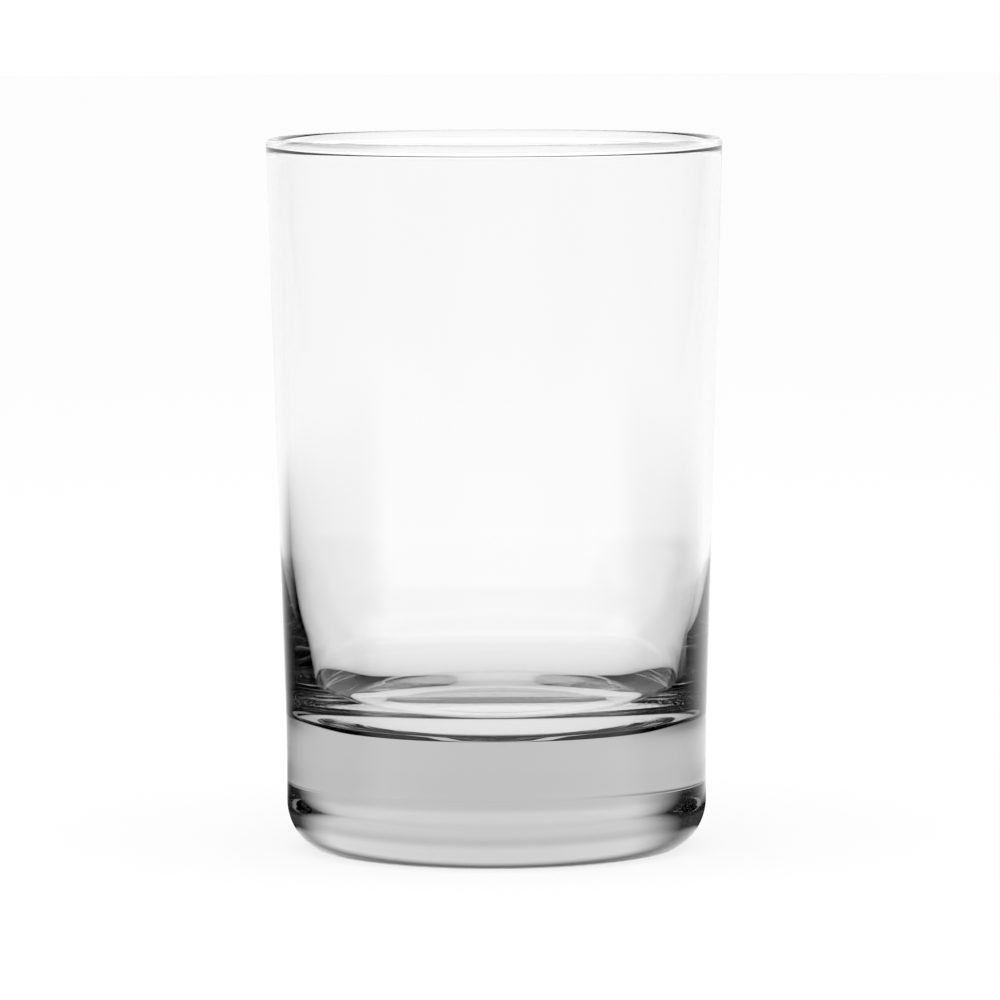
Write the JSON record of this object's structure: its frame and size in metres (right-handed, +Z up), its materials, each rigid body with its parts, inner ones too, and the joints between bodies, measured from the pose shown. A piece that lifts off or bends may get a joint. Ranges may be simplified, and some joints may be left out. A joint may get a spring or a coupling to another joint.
{
  "type": "juice glass",
  "caption": "Straight-sided clear juice glass with a slight flare, a rounded lip with a small bead inside, a thick solid base and a rounded heel; it holds a drink and stands on a flat foot ring.",
  "frame": {"origin": "centre of the foot, on the surface that the glass stands on", "axes": "+Z up along the axis of the glass, from foot to lip; +X and +Y are any two square directions, because the glass is round"},
  "size_m": [0.0634, 0.0634, 0.099],
  "materials": {
    "clear_glass": "fire-polished clear soda-lime glass"
  },
  "bodies": {
    "root": {"tumbler": "clear_glass"}
  },
  "joints": []
}
